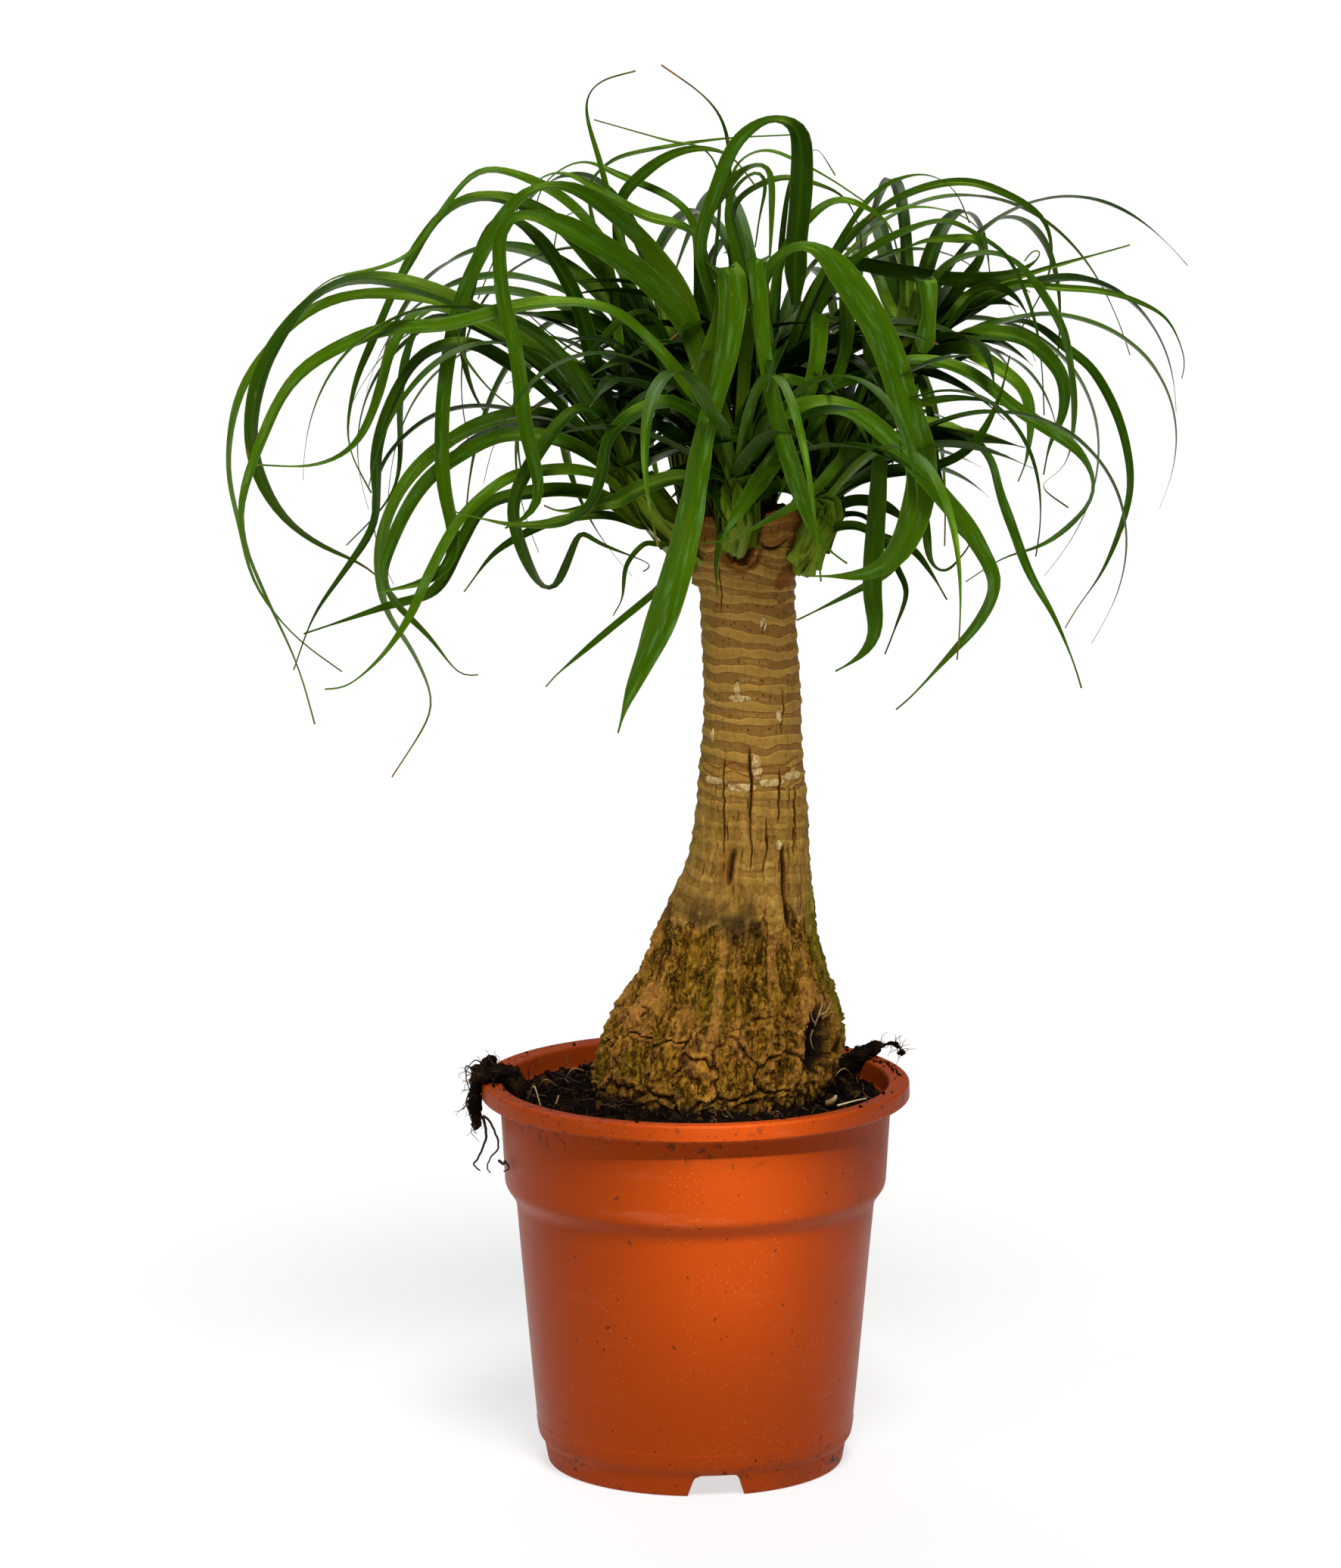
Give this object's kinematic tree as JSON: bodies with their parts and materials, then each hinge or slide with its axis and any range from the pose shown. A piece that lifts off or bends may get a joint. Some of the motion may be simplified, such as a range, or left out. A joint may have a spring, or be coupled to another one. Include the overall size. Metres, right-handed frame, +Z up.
{
  "type": "potted ponytail palm",
  "caption": "Potted ponytail palm with a swollen corky base, a ringed stem cut at the top and arching strap leaves, standing in soil in a round nursery pot.",
  "frame": {"origin": "middle of the whole plant's outline in plan, on the surface that the pot stands on", "axes": "+Z up along the stem, +X to the right seen from the front, the front faces -Y"},
  "size_m": [0.4242, 0.3902, 0.6177],
  "materials": {
    "pot_plastic": "satin injection-moulded terracotta-orange plastic with light scuffs and specks of soil",
    "soil": "matt crumbly dark peat compost with fibres",
    "bark": "matt ringed bark above, rough olive-brown cork plates below",
    "peat": "matt matted peat and fine dark roots",
    "leaf": "satin strap leaf, fine lengthwise veins, pale margins, dry brown tips"
  },
  "bodies": {
    "root": {"pot": "pot_plastic", "soil": "soil", "stem": "bark", "rim_clod": "peat", "rim_root": "peat", "shoot_front": "leaf", "shoot_left": "leaf", "shoot_right": "leaf", "shoot_right_back": "leaf", "shoot_back": "leaf", "shoot_back_left": "leaf"}
  },
  "joints": []
}
